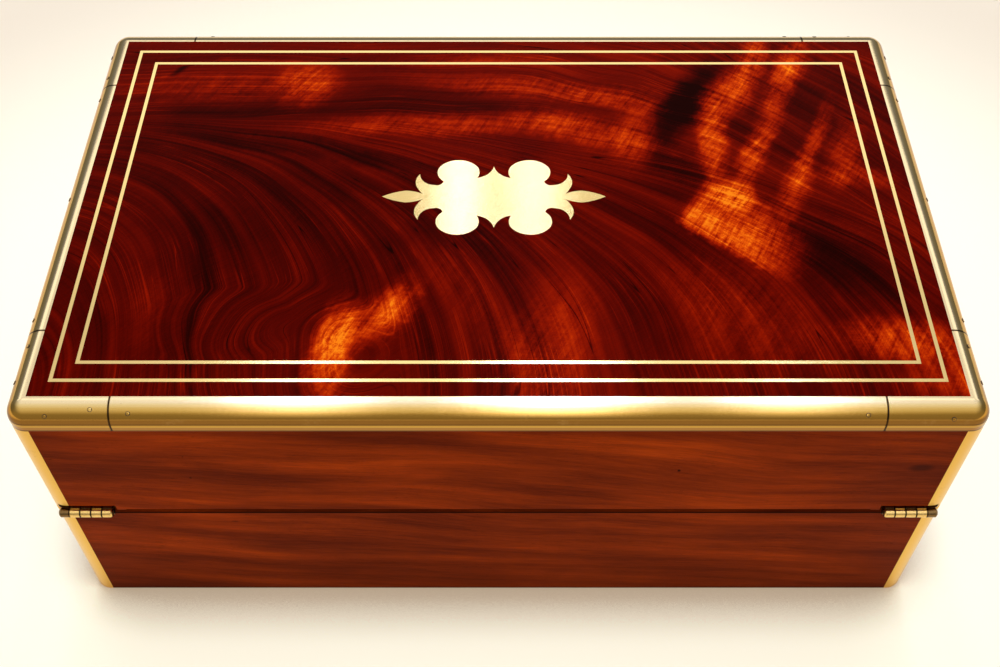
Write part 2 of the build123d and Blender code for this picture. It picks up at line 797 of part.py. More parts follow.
def inkwell_cap(name, centre_x):
    """A turned cap with a raised middle, and a knuckle at the back that turns on the collar's axle."""
    edge_z = cap_bottom + cap_thickness
    with BuildPart() as cap:
        with BuildSketch(Plane(origin=(centre_x, cell_y, 0), x_dir=(1, 0, 0), z_dir=(0, -1, 0))):
            with BuildLine():
                Polyline(
                    (0, cap_bottom),
                    (cap_radius, cap_bottom),
                    (cap_radius, edge_z),
                    (cap_radius - cap_step, edge_z),
                    (cap_radius - cap_step, edge_z + cap_crown),
                    (0, edge_z + cap_crown),
                    close=True,
                )
            make_face()
        revolve(axis=Axis((centre_x, cell_y, 0), (0, 0, 1)))
        tongue_x = (centre_x - cap_knuckle_width / 2, centre_x + cap_knuckle_width / 2)
        tongue_y = (cell_y + cap_radius / 2, cap_axis_y)
        add(block(tongue_x, tongue_y, (cap_bottom, cap_bottom + cap_thickness)))
        add(along_x(centre_x, cap_axis_y, cap_axis_z, cap_knuckle_radius, cap_knuckle_width))
        bore = cap_axle_radius + running_clearance
        add(along_x(centre_x, cap_axis_y, cap_axis_z, bore, 2 * cap_knuckle_width), mode=Mode.SUBTRACT)
    save(cap, name)


for side_name, side in sides.items():
    cell_x = side * (inner_x - cell_size / 2)
    inkwell(f"inkwell_{side_name}", cell_x)
    inkwell_collar(f"inkwell_collar_{side_name}", cell_x)
    inkwell_cap(f"inkwell_cap_{side_name}", cell_x)

# ======================================================== lock
with BuildPart() as keyhole_escutcheon:
    add(escutcheon_solid)
    add(keyhole(lock_back, half_depth), mode=Mode.SUBTRACT)
save(keyhole_escutcheon, "keyhole_escutcheon")

with BuildPart() as lock_case:
    add(lock_form.part)
    cavity_x = (-lock_width / 2 + lock_plate, lock_width / 2 - lock_plate)
    cavity_z = (lock_bottom + lock_plate, lock_top - base_rim.upright(selvedge_thickness))
    add(block(cavity_x, cavity_y, cavity_z), mode=Mode.SUBTRACT)
    rail_top = bar_bottom - bolt_clearance
    for side in sides.values():
        rail_x = (side * bolt_rail_x - bolt_rail_length / 2, side * bolt_rail_x + bolt_rail_length / 2)
        add(block(rail_x, cavity_y, (rail_top - bolt_rail_height, rail_top)))
    for side in sides.values():
        shank = side * hook_x
        slot_x = (
            shank - hook_thickness / 2 - hook_nose - hook_clearance,
            shank + hook_thickness / 2 + hook_clearance,
        )
        slot_y = (hook_y0 - hook_swing, hook_y1 + hook_back_clearance)
        add(block(slot_x, slot_y, (cavity_z[1] - lock_plate, case_height)), mode=Mode.SUBTRACT)
    add(keyhole(cavity_y[1], lock_back), mode=Mode.SUBTRACT)
    with BuildSketch(Plane.XZ.offset(-inner_y)):
        with Locations((0, key_z)):
            Circle(key_post_radius)
    extrude(amount=-lock_thickness)
save(lock_case, "lock_case")

with BuildPart() as hook_plate:
    add(hook_plate_solid)
    with BuildSketch(Plane.XZ.offset(-hook_y1)):
        shank_top = lid_rim.height(hook_y0) + selvedge_thickness / 2
        for side in sides.values():
            right = side * hook_x + hook_thickness / 2
            left = right - hook_thickness
            with BuildLine():
                Polyline(
                    (right, shank_top),
                    (right, hook_tip),
                    (left - hook_nose, hook_tip),
                    (left - hook_nose, hook_tip + hook_nose_height),
                    (left, hook_tip + hook_nose_height),
                    (left, shank_top),
                    close=True,
                )
            make_face()
    extrude(amount=hook_depth)
save(hook_plate, "hook_plate")

with BuildPart() as lock_bolt:
    with BuildSketch(Plane.XZ.offset(-(cavity_y[1] - bolt_clearance))):
        tooth_top = tooth_bottom + bolt_tooth_height
        tooth_length = bolt_post_width + bolt_throw + bolt_clearance
        tooth_tips = [
            side * hook_x - hook_thickness / 2 - hook_nose - bolt_rest_gap for side in sides.values()
        ]
        bar_left = tooth_tips[0] - tooth_length
        bar_right = hook_x
        with Locations(((bar_left + bar_right) / 2, (bar_bottom + bar_top) / 2)):
            Rectangle(bar_right - bar_left, bolt_bar_height)
        for tip in tooth_tips:
            with Locations((tip - tooth_length / 2, (tooth_bottom + tooth_top) / 2)):
                Rectangle(tooth_length, bolt_tooth_height)
            with Locations((tip - tooth_length + bolt_post_width / 2, (bar_bottom + tooth_top) / 2)):
                Rectangle(bolt_post_width, tooth_top - bar_bottom)
        with Locations((0, bar_bottom)):
            Rectangle(talon_width, 2 * talon_depth, mode=Mode.SUBTRACT)
    extrude(amount=cavity_y[1] - cavity_y[0] - 2 * bolt_clearance)
save(lock_bolt, "lock_bolt")

# ======================================================== turn catches
for side_name, side in sides.items():
    catch_plane = lid_rim.plane(side * catch_x, catch_y).offset(catch_sunk)
    with BuildPart() as turn_catch:
        with BuildSketch(catch_plane):
            arm = catch_reach - catch_width / 2
            with Locations((side * arm / 2, 0)):
                SlotCenterToCenter(arm, catch_width)
        extrude(amount=catch_thickness)
        with BuildSketch(catch_plane):
            Circle(catch_pin_radius)
        extrude(amount=catch_thickness + catch_pin_length - catch_clearance)
    save(turn_catch, f"turn_catch_{side_name}")

print("lid hinge at", (0, axis_y, axis_z))
print("base flap pivot", (0, -inner_y, base_rim.height(-inner_y)))
print("lid flap pivot", (0, -inner_y, lid_rim.height(-inner_y)))
print("cap pivot", (0, cap_axis_y, cap_axis_z))
print("catch pivot", (catch_x, catch_y, lid_rim.height(catch_y)), "slope", degrees(lid_rim.slope))
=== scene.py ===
from math import atan, cos, pi, radians, sin

import bmesh
import bpy
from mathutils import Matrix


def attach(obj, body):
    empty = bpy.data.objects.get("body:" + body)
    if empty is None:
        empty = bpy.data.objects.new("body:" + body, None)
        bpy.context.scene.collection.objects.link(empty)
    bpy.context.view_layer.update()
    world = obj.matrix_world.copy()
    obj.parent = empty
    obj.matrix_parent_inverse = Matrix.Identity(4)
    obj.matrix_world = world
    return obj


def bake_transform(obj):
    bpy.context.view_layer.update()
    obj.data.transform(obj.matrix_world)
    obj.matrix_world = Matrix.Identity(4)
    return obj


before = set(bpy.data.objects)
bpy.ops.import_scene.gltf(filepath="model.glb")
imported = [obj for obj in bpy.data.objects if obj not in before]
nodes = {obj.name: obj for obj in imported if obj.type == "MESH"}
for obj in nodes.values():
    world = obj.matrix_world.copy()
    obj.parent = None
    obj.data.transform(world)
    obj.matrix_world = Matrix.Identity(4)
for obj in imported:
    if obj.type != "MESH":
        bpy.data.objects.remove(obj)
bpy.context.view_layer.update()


# Case walls. Solid mahogany boards, mitred at the corners and waxed; the hinge and lock sides run along
# the case and the two ends across it. Lid and base walls were one box, sawn apart on the slope, so the
# figure carries on from one to the other. Finishes are reckoned in millimetres, and places in metres.
half_length = 203.0
half_width = 123.0
joint_height = 77.0     # the middle of the saw cut at the hinge side
joint_slope = 0.191     # how fast it climbs from there towards the lock
joint_gap = 1.55        # half its width at the hinge side, with a little of the wood
joint_taper = 0.0043    # how fast that narrows


class Strand:
    """A socket in a finish. Sums, products and powers of strands and numbers add its Math nodes."""

    def __init__(self, socket):
        self.socket = socket

    def node(self, kind, settings={}, values={}, output=0):
        tree = self.socket.id_data
        made = tree.nodes.new("ShaderNode" + kind)
        for setting, choice in settings.items():
            setattr(made, setting, choice)
        for name, value in values.items():
            if isinstance(value, Strand):
                tree.links.new(value.socket, made.inputs[name])
            else:
                made.inputs[name].default_value = value
        return Strand(made.outputs[output])

    def math(self, operation, first, second):
        return self.node("Math", {"operation": operation}, {0: first, 1: second})

    def __add__(self, other):
        return self.math("ADD", self, other)

    __radd__ = __add__

    def __sub__(self, other):
        return self.math("SUBTRACT", self, other)

    def __rsub__(self, other):
        return self.math("SUBTRACT", other, self)

    def __mul__(self, other):
        return self.math("MULTIPLY", self, other)

    __rmul__ = __mul__

    def __truediv__(self, other):
        return self.math("DIVIDE", self, other)

    def __pow__(self, other):
        return self.math("POWER", self, other)

    def __abs__(self):
        return self.math("ABSOLUTE", self, 0)

    def at_least(self, floor):
        return self.math("MAXIMUM", self, floor)

    def at_most(self, ceiling):
        return self.math("MINIMUM", self, ceiling)

    def fold(self, half):
        """0 at every other multiple of half, and half at those between."""
        return self.math("PINGPONG", self, half)

    def rise(self, low, high):
        """0 below low, 1 above high, smooth between; falls instead where low is above high."""
        return self.node("MapRange", {"interpolation_type": "SMOOTHSTEP"},
                         {"Value": self, "From Min": low, "From Max": high})

    def cloud(self, x, y, z, detail, roughness=0.5):
        """Noise from 0 to 1 at a place given by three strands or numbers, one lump to a unit."""
        place = self.node("CombineXYZ", {}, {0: x, 1: y, 2: z})
        values = {"Vector": place, "Scale": 1.0, "Detail": detail, "Roughness": roughness}
        return self.node("TexNoise", {}, values)

    def tint(self, under, over):
        """One colour over another, by this strand as the mask."""
        under, over = [colour if isinstance(colour, Strand) else (*colour, 1) for colour in (under, over)]
        return self.node("Mix", {"data_type": "RGBA"}, {0: self, 6: under, 7: over}, 2)

    def ramp(self, *stops):
        """A colour for this strand, blended between stops of value and colour in rising order."""
        made = self.node("ValToRGB", {}, {0: self})
        elements = made.socket.node.color_ramp.elements
        for element, (spot, tint) in ((elements[0], stops[0]), (elements[1], stops[-1])):
            element.position = spot
            element.color = (*tint, 1)
        for spot, tint in stops[1:-1]:
            elements.new(spot).color = (*tint, 1)
        return made

    def bump(self, strength, distance=0.0001):
        """A surface raised by this strand, distance metres for each unit."""
        return self.node("Bump", {}, {"Strength": strength, "Distance": distance, "Height": self})

    def split(self):
        """The X, Y and Z of this place or direction, as three strands."""
        parts = self.node("SeparateXYZ", {}, {0: self}).socket.node.outputs
        return [Strand(part) for part in parts]


def new_finish(name):
    """A material, its shader, and the place on the piece in millimetres as three strands."""
    finish = bpy.data.materials.new(name)
    finish.use_nodes = True
    tree = finish.node_tree
    place = Strand(tree.nodes.new("ShaderNodeTexCoord").outputs["Object"])
    millimetres = place.node("VectorMath", {"operation": "SCALE"}, {0: place, "Scale": 1000.0})
    return finish, tree.nodes["Principled BSDF"], millimetres.split()


def feed(shader, name, strand):
    """Joins a strand to an input of a shader."""
    strand.socket.id_data.links.new(strand.socket, shader.inputs[name])


def dress(finish, *names):
    """Gives a finish to pieces of the frame, in place of what they came with."""
    for name in names:
        nodes[name].data.materials.clear()
        nodes[name].data.materials.append(finish)


def dent(x, y, place, radii):
    """An oval spot, 1 at its middle and 0 at its rim."""
    return (((x - place[0]) / radii[0]) ** 2 + ((y - place[1]) / radii[1]) ** 2).rise(1.0, 0.0)


def wall_finish(name, across):
    """Waxed mahogany with its grain along the wall, which runs across the case or along it."""
    finish, shader, (x, y, z) = new_finish(name)
    run, thick = (y, x) if across else (x, y)
    drift = x.cloud(run / 150, z / 90, thick / 80, 1.0)
    slant = z + run * 0.1 + drift * 22
    figure = x.cloud(run / 120, slant / 24, thick / 60, 2.0, 0.5)
    ribbon = x.cloud(run / 150 + 7, slant / 7, thick / 40, 3.0, 0.55)
    fibre = x.cloud(run / 12, slant / 0.7, thick / 0.7, 3.0, 0.65)
    pores = x.cloud(run / 2.6, z / 0.32, thick / 0.32, 1.0)
    tone = 0.48 + (figure - 0.5) * 0.74 + (ribbon - 0.5) * 0.46 + (fibre - 0.5) * 0.34
    colour = tone.ramp((0.28, (0.1, 0.0085, 0.0004)), (0.42, (0.175, 0.0175, 0.0006)),
                       (0.56, (0.285, 0.0295, 0.0008)), (0.72, (0.47, 0.054, 0.0014)))
    soot = pores.rise(0.6, 0.76) * x.cloud(run / 24, z / 18, 3.0, 1.0).rise(0.35, 0.65) * 0.5
    colour = soot.tint(colour, (0.04, 0.0045, 0.0006))

    # Painted shade darkens the wood towards the foot, under the brass and towards the ends, with blotches of
    # smoky old polish over it, and painted shade with some dirt lies along the saw cut, on the outside more
    # than on the rims.
    # Painted shade at the foot, under the brass and at the ends, plus random blotches of smoky polish.
    smoke_and_shade = z.rise(60.0, -12.0) * 0.6 + z.rise(126.0, 150.0) * 0.22 + abs(run).rise(120.0, 215.0) * 0.2
    smoke_and_shade = smoke_and_shade + x.cloud(run / 70, z / 24, 5.0, 2.0).rise(0.5, 0.8) * 0.3
    colour = smoke_and_shade.tint(colour, (0.085, 0.0085, 0.0006))
    # Painted shade of the gap along the saw cut, with some dirt, stronger on the outside faces than on the
    # rims.
    from_hinges = y + half_width
    off_joint = abs(z - joint_height - from_hinges * joint_slope) - joint_gap + from_hinges * joint_taper
    outside = (abs(thick) - ((half_length if across else half_width) - 1.0)).rise(0.1, 0.8)
    grime_and_shade = off_joint.rise(0.1, -0.05) * (0.25 + outside * 0.75)
    colour = grime_and_shade.tint(colour, (0.03, 0.007, 0.0025))
    if not across:
        hinge_face = (y + (half_width - 2.0)).rise(0.4, -0.4)
        dents = dent(x, z, (78.0, 112.0), (0.9, 1.2)) + dent(x, z, (182.0, 114.0), (7.0, 3.6)) * 0.6
        dents = dents + dent(x, z, (-134.0, 106.0), (0.8, 0.7)) * 0.8
        dents = dents + dent(x, z, (-134.0, 123.0), (0.5, 0.5)) * 0.6
        scratches = dent(x, z, (132.0, 56.0), (3.6, 0.5)) * 0.5
        scratches = scratches + dent(x, z, (-121.0, 68.0), (2.4, 0.9)) * 0.45
        colour = ((dents + scratches) * hinge_face).tint(colour, (0.02, 0.0025, 0.0008))
    # A painted shadow darkens the very foot of the wall, where the case meets the paper.
    foot_shadow = z.rise(2.8, 0.4) * 0.8
    feed(shader, "Base Color", foot_shadow.tint(colour, (0.012, 0.002, 0.0005)))
    feed(shader, "Roughness", 0.44 - ribbon * 0.12 + soot * 0.3)
    height = fibre * 0.3 - soot * 1.4 + figure * 0.5
    feed(shader, "Normal", height.bump(0.2))
    shader.inputs["Specular IOR Level"].default_value = 0.012
    shader.inputs["Specular Tint"].default_value = (1, 0.3, 0.05, 1)
    return finish


long_wall = wall_finish("long_wall", False)
end_wall = wall_finish("end_wall", True)
dress(long_wall, "base_hinge_wall", "base_lock_wall", "lid_hinge_wall", "lid_lock_wall")
dress(end_wall, "base_left_wall", "base_right_wall", "lid_left_wall", "lid_right_wall")


# Inside joinery. Plain straight-grained mahogany, glued in between the walls: the bottom, the partition and
# dividers, the floor of the pen section and its tray, the flaps and the ledges that they lie on, and the
# board under the veneer of the lid.
def joinery_finish(name, along, light=1.0):
    """Mahogany with its grain along one axis, 0 for X or 1 for Y; light is how pale it is."""
    finish, shader, axes = new_finish(name)
    run = axes[along]
    side, other = [axis for index, axis in enumerate(axes) if index != along]
    drift = run.cloud(run / 120, side / 50, other / 50, 1.0)
    ring = run.cloud(run / 240, side / 7 + drift * 3, other / 7, 3.0, 0.6)
    fibre = run.cloud(run / 18, side / 0.6, other / 0.6, 3.0, 0.6)
    pores = run.cloud(run / 4, side / 0.32, other / 0.32, 1.0)
    tone = ring * 0.7 + fibre * 0.3
    stops = ((0.34, (0.115, 0.0185, 0.004)), (0.5, (0.2, 0.038, 0.0075)), (0.68, (0.31, 0.07, 0.015)))
    colour = tone.ramp(*[(spot, [part * light for part in tint]) for spot, tint in stops])
    soot = pores.rise(0.6, 0.74) * 0.45
    feed(shader, "Base Color", soot.tint(colour, (0.04, 0.009, 0.003)))
    feed(shader, "Roughness", 0.55 - fibre * 0.12 + soot * 0.2)
    height = fibre * 0.4 - soot
    feed(shader, "Normal", height.bump(0.2))
    shader.inputs["Specular IOR Level"].default_value = 0.1
    return finish


joinery = joinery_finish("joinery", 0)
cross_joinery = joinery_finish("cross_joinery", 1)
dress(joinery, "base_bottom", "base_partition", "pen_section_floor", "base_ledges")
dress(joinery, "lid_top_board", "lid_ledges")
dress(cross_joinery, "left_cell_divider", "right_cell_divider")
dress(joinery_finish("tray_wood", 0, 0.8), "pen_tray")
dress(joinery_finish("flap_wood", 0, 1.15), "base_flap", "lid_flap")


# Brass strips up the four corners. Cast brass let into the wood, rounded over the corner and sawn through
# with it, stained and specked with age.
def brass_finish(name, clean, stain, worn, age, marks_and_shading=None):
    """Old brass. clean and stain are its two colours, worn its roughness, age how much of it is stained.
    The last argument, a function, adds the joints, the grime, and the painted shade and highlights of one
    kind of piece to its colour."""
    finish, shader, (x, y, z) = new_finish(name)
    patches = x.cloud(x / 14, y / 14, z / 14, 4.0, 0.62)
    specks = x.cloud(x / 1.3, y / 1.3, z / 1.3, 3.0, 0.6)
    rubs = x.cloud(x / 0.25, y / 0.25, z / 30, 2.0)
    stained = (patches * 0.75 + specks * 0.3).rise(0.72 - age * 0.34, 0.98 - age * 0.34)
    colour = stained.tint(clean, stain)
    spotted = specks.rise(0.66, 0.8) * patches.rise(0.45, 0.65) * 0.7
    colour = spotted.tint(colour, (stain[0] * 0.35, stain[1] * 0.3, stain[2] * 0.3))
    flecks = x.cloud(x / 0.6, y / 0.6, z / 0.6, 2.0, 0.6).rise(0.655, 0.72)
    flecks = flecks * x.cloud(x / 10, y / 10, z / 10, 2.0).rise(0.45, 0.62)
    if marks_and_shading:
        colour = marks_and_shading(colour, (x, y, z), stained, patches)
    pitted = (flecks * age * 1.7).rise(0.0, 1.0)
    feed(shader, "Base Color", pitted.tint(colour, (0.09, 0.04, 0.012)))
    dull = stained * age * 0.24 + (spotted + flecks) * age * 0.6
    feed(shader, "Roughness", worn + dull + (rubs - 0.5) * 0.08)
    shader.inputs["Metallic"].default_value = 1.0
    height = rubs * 0.5 + specks * 0.4 + patches * 1.2
    feed(shader, "Normal", height.bump(0.12, 0.00012))
    return finish


corner_brass = brass_finish("corner_brass", (0.78, 0.45, 0.075), (0.56, 0.29, 0.045), 0.3, 0.35)
corners = [f"{side}_{end}" for side in ("hinge", "lock") for end in ("left", "right")]
dress(corner_brass, *[f"{half}_strip_{corner}" for half in ("base", "lid") for corner in corners])


# Hinges. A pair of small brass butts let into the hinge walls, their knuckles showing at the ends.
barrel_end = 199.0      # the outer ends of the hinges, from the middle of the case
knuckle = 4.9           # the length of one knuckle and its joint


def hinge_marks_and_shade(colour, place, *wear):
    """Black joints between the knuckles, browned brass on the outermost ones, and painted shade on the brass
    over the saw cut, the same whatever the wear."""
    x, y, z = place
    barrel = (y + (half_width - 1.6)).rise(0.4, 0.0)
    from_end = barrel_end - abs(x)
    joints = from_end.fold(knuckle / 2).rise(0.5, 0.2)
    colour = (barrel * joints).tint(colour, (0.02, 0.01, 0.004))
    outermost = from_end.rise(knuckle + 0.2, knuckle - 0.2)
    colour = (barrel * outermost * 0.85).tint(colour, (0.1, 0.045, 0.014))
    # Painted shade on the brass over the saw cut, where it lies in the shadow of the gap.
    shade_over_joint = (z - joint_height).rise(2.1, 2.6)
    return (shade_over_joint * barrel * 0.8).tint(colour, (0.05, 0.02, 0.008))


hinge_brass = brass_finish("hinge_brass", (0.86, 0.56, 0.17), (0.34, 0.17, 0.04), 0.24, 0.45, hinge_marks_and_shade)
dress(hinge_brass, *[f"{half}_hinge_leaf_{end}" for half in ("base", "lid") for end in ("left", "right")])
dress(brass_finish("pin_brass", (0.5, 0.36, 0.16), (0.2, 0.12, 0.05), 0.32, 0.6), "hinge_pins")

# Their screws: small countersunk brass heads with a filed slot, flush with the leaves.
grime_and_shade, shader, (x, y, z) = new_finish("slot_grime")
crumbs = x.cloud(x / 2, y / 2, z / 2, 3.0)
feed(shader, "Base Color", crumbs.tint((0.012, 0.007, 0.004), (0.05, 0.028, 0.012)))
feed(shader, "Roughness", 0.7 + x.cloud(x / 0.4, y / 0.4, z / 0.4, 2.0) * 0.3)


def turn_disc(vertices, radius, depth, middle, *finishes):
    """A disc round the Z axis with its middle at a height, left in edit mode with its flat top picked."""
    bpy.ops.object.select_all(action="DESELECT")
    bpy.ops.mesh.primitive_cylinder_add(
        vertices=vertices, radius=radius, depth=depth, location=(0, 0, middle))
    disc = bpy.context.object
    for finish in finishes:
        disc.data.materials.append(finish)
    bpy.ops.object.mode_set(mode="EDIT")
    bpy.ops.mesh.select_all(action="DESELECT")
    mesh = bmesh.from_edit_mesh(disc.data)
    for face in mesh.faces:
        face.select_set(face.normal.z > 0.9)
    return disc


def paint_picked(piece):
    """Gives the picked faces of the piece in edit mode its second finish."""
    mesh = bmesh.from_edit_mesh(piece.data)
    for face in mesh.faces:
        if face.select:
            face.material_index = 1


def shape_screw(head_radius):
    """A countersunk head whose rim lies at z = 0, with a dark slot across it along X."""
    screw = turn_disc(32, head_radius, 0.0009, -0.00045, hinge_brass, grime_and_shade)
    bpy.ops.mesh.inset(thickness=0.00012, depth=0)
    bpy.ops.transform.translate(value=(0, 0, 0.00006))
    slot_half = head_radius * 0.14
    for side in (-1, 1):
        bpy.ops.mesh.select_all(action="SELECT")
        bpy.ops.mesh.bisect(plane_co=(0, side * slot_half, 0), plane_no=(0, 1, 0))
    bpy.ops.mesh.select_all(action="DESELECT")
    mesh = bmesh.from_edit_mesh(screw.data)
    for face in mesh.faces:
        middle = face.calc_center_median()
        face.select_set(face.normal.z > 0.9 and abs(middle.y) < slot_half and middle.z > 0)
    bpy.ops.mesh.extrude_region_move(TRANSFORM_OT_translate={"value": (0, 0, -0.00045)})
    paint_picked(screw)
    bpy.ops.object.mode_set(mode="OBJECT")
    return screw


def set_copy(master, name, body, place, turn):
    """A copy of a modelled piece with its own mesh, set in place and riding on its body."""
    bpy.ops.object.select_all(action="DESELECT")
    piece = master.copy()
    piece.data = master.data.copy()
    piece.name = name
    bpy.context.scene.collection.objects.link(piece)
    piece.location = place
    piece.rotation_euler = turn
    piece.select_set(True)
    bpy.context.view_layer.objects.active = piece
    bpy.ops.object.transform_apply(location=True, rotation=True, scale=True)
    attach(piece, body)


rim_heights = {"base": 0.0756, "lid": 0.0784}       # at the hinge side, with the lid shut
rim_slopes = {"base": 0.19533, "lid": 0.18679}
rim_tilts = {"base": atan(rim_slopes["base"]), "lid": pi + atan(rim_slopes["lid"])}     # the lid's faces down
ends = ((-1, "left"), (1, "right"))
leaf_screw_y = -0.1181


def on_rim(body, x, y, lift=0.0):
    """The place on a rim at x and y, raised by lift, all in metres."""
    return x, y, rim_heights[body] + rim_slopes[body] * (y + half_width / 1000) + lift


leaf_screw = shape_screw(0.0015)
for end, end_name in ends:
    for number, screw_x in enumerate((0.1785, 0.18675, 0.195)):
        for body in ("base", "lid"):
            set_copy(leaf_screw, f"{body}_leaf_screw_{end_name}_{number}", body,
                     on_rim(body, end * screw_x, leaf_screw_y), (rim_tilts[body], 0, 0.5 + number * 0.9))
bpy.data.objects.remove(leaf_screw)


# Lock. A brass box let into the lock wall with its bolt, the hook plate in the lid, the escutcheon round
# the keyhole, and a turn catch for the lid's flap on either side. Plates and catches are screwed to the rims.
lock_brass = brass_finish("lock_brass", (0.8, 0.55, 0.2), (0.42, 0.25, 0.08), 0.28, 0.4)
dress(lock_brass, "lock_case", "lock_bolt", "hook_plate", "keyhole_escutcheon")
dress(lock_brass, "turn_catch_left", "turn_catch_right")
plate_screw_x, plate_screw_y = 0.0305, 0.1175
catch_x, catch_y = 0.112, 0.1181
plate_screw = shape_screw(0.0021)
for end, end_name in ends:
    for body in ("base", "lid"):
        set_copy(plate_screw, f"{body}_plate_screw_{end_name}", body,
                 on_rim(body, end * plate_screw_x, plate_screw_y), (rim_tilts[body], 0, 0.7 * end))
    set_copy(plate_screw, f"catch_screw_{end_name}", f"turn_catch_{end_name}",
             on_rim("lid", end * catch_x, catch_y, 0.00008), (rim_tilts["lid"], 0, 0.4 * end))
bpy.data.objects.remove(plate_screw)


# Inkwells. Cut clear glass bottles with brass collars and hinged caps.
glass, shader, (x, y, z) = new_finish("glass")
shader.inputs["Base Color"].default_value = (0.9, 0.96, 0.94, 1)
shader.inputs["Transmission Weight"].default_value = 1.0
shader.inputs["IOR"].default_value = 1.5
feed(shader, "Roughness", x.cloud(x / 3, y / 3, z / 3, 2.0).rise(0.4, 0.9) * 0.12)
dress(glass, "inkwell_left", "inkwell_right")

ink, shader, (x, y, z) = new_finish("ink")
swirls = x.cloud(x / 3, y / 3, z / 3, 2.0)
feed(shader, "Base Color", swirls.tint((0.002, 0.003, 0.008), (0.008, 0.009, 0.02)))
feed(shader, "Roughness", 0.12 + x.cloud(x / 2, y / 2, z / 2, 2.0) * 0.15)

# Each holds a little ink, whose surface climbs the glass at its rim.
well_x, well_y = 0.1695, 0.0895
ink_height = 0.07822
pool = turn_disc(48, 0.0083, 0.006, 0, ink)
for ring, sink in ((0.0003, -0.0003), (0.0006, -0.0003), (0.0012, -0.0002)):
    bpy.ops.mesh.inset(thickness=ring, depth=0)
    bpy.ops.transform.translate(value=(0, 0, sink))
bpy.ops.object.mode_set(mode="OBJECT")
for end, end_name in ends:
    set_copy(pool, f"ink_{end_name}", "base", (end * well_x, well_y, ink_height), (0, 0, 0))
bpy.data.objects.remove(pool)

cap_brass = brass_finish("cap_brass", (0.86, 0.6, 0.24), (0.5, 0.3, 0.1), 0.2, 0.35)
dress(cap_brass, "inkwell_collar_left", "inkwell_collar_right", "inkwell_cap_left", "inkwell_cap_right")


# Writing skivers. Dark green leather glued on the flaps and over their hinges, and tooled in gilt along
# the three other sides.
skiver_end = 171.5      # from the middle of the case to either end of the leather


def skiver_finish(name, far_y):
    """Leather with two gilt lines and a row of beads between them. far_y is its edge away from the hinge."""
    finish, shader, (x, y, z) = new_finish(name)
    place = x.node("CombineXYZ", {}, {0: x, 1: y, 2: z})
    grain = x.node("TexVoronoi", {"feature": "DISTANCE_TO_EDGE"}, {"Vector": place, "Scale": 1.1})
    worn = x.cloud(x / 45, y / 45, z / 45, 3.0, 0.6)
    scuff = x.cloud(x / 7, y / 18, z / 18, 4.0, 0.65)
    colour = worn.ramp((0.3, (0.014, 0.036, 0.019)), (0.75, (0.045, 0.08, 0.038)))
    colour = grain.rise(0.12, 0.0).tint(colour, (0.008, 0.018, 0.01))
    colour = (scuff.rise(0.66, 0.85) * 0.5).tint(colour, (0.1, 0.09, 0.05))
    edge = (skiver_end - abs(x)).at_most(far_y - y)
    broad = abs(edge - 4.6).rise(0.62, 0.5)
    narrow = abs(edge - 8.2).rise(0.24, 0.16)
    beads = ((x + y).fold(1.3) / 1.3) ** 2 + ((edge - 6.5) / 0.7) ** 2
    gilt = (broad + narrow + beads.rise(1.0, 0.7)).rise(0.0, 1.0) * (1.0 - scuff.rise(0.5, 0.75) * 0.8)
    feed(shader, "Base Color", gilt.tint(colour, (0.78, 0.52, 0.16)))
    feed(shader, "Metallic", gilt * 0.9)
    feed(shader, "Roughness", 0.62 - worn * 0.2 - gilt * 0.2)
    height = grain.rise(0.0, 0.3) * (1.0 - gilt) - gilt * 0.6
    feed(shader, "Normal", height.bump(0.3))
    shader.inputs["Specular IOR Level"].default_value = 0.35
    return finish


base_skiver = skiver_finish("base_skiver", 49.5)
lid_skiver = skiver_finish("lid_skiver", 97.1)
dress(base_skiver, "base_leather_fold", "base_flap_leather")
dress(lid_skiver, "lid_leather_fold", "lid_flap_leather")

# The strips that join each flap to its rim, glued over both; the real leather bends as the flap lifts. Each
# mesh is divided into narrow bands along the hinge, and the long edges on top are rounded.
strip_length = 0.3426
strip_width = 0.0128
strip_thickness = 0.0003
strip_y = -0.1137
fold_start = -0.1155
fold_end = -0.1115
bend_width = 0.0008
for body, skiver, lift in (("base", base_skiver, 0.0001), ("lid", lid_skiver, -0.0001)):
    bpy.ops.object.select_all(action="DESELECT")
    bpy.ops.mesh.primitive_cube_add(size=1, location=(0, 0, 0))
    strip = bpy.context.object
    strip.name = f"{body}_hinge_strip"
    strip.scale = (strip_length, strip_width, strip_thickness)
    bpy.ops.object.transform_apply(scale=True)
    bpy.ops.object.mode_set(mode="EDIT")
    for cut in range(-7, 8):
        bpy.ops.mesh.select_all(action="SELECT")
        bpy.ops.mesh.bisect(plane_co=(0, cut * bend_width, 0), plane_no=(0, 1, 0))
    bpy.ops.mesh.select_all(action="DESELECT")
    mesh = bmesh.from_edit_mesh(strip.data)
    for edge in mesh.edges:
        tips = [vertex.co for vertex in edge.verts]
        outer = all(tip.z > 0 and abs(tip.y) > strip_width / 2 - 0.0001 for tip in tips)
        edge.select_set(outer and abs(tips[0].x - tips[1].x) > 0.1)
    bpy.ops.mesh.bevel(offset=0.0002, segments=2)
    bpy.ops.object.mode_set(mode="OBJECT")
    strip.location = on_rim(body, 0, strip_y, lift)
    strip.rotation_euler = (rim_tilts[body], 0, 0)
    bpy.ops.object.transform_apply(location=True, rotation=True, scale=True)
    strip.data.materials.append(skiver)
    on_rim(body, 0, fold_start)
    on_rim(body, 0, fold_end)
    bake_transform(strip)


# Lid veneer. One leaf of flame mahogany, cut where a branch forks from the trunk, so that its rings
# sweep round in arches and its fibres glow where they turn towards the light; french polished.
veneer, shader, (x, y, z) = new_finish("flame_veneer")
drift_x = x.cloud(x / 75, y / 75, 0.0, 1.0) - 0.5
drift_y = x.cloud(x / 75, y / 75, 9.0, 1.0) - 0.5
ragged_x = x.cloud(x / 5, y / 5, 13.0, 3.0, 0.6) - 0.5
ragged_y = x.cloud(x / 5, y / 5, 17.0, 3.0, 0.6) - 0.5

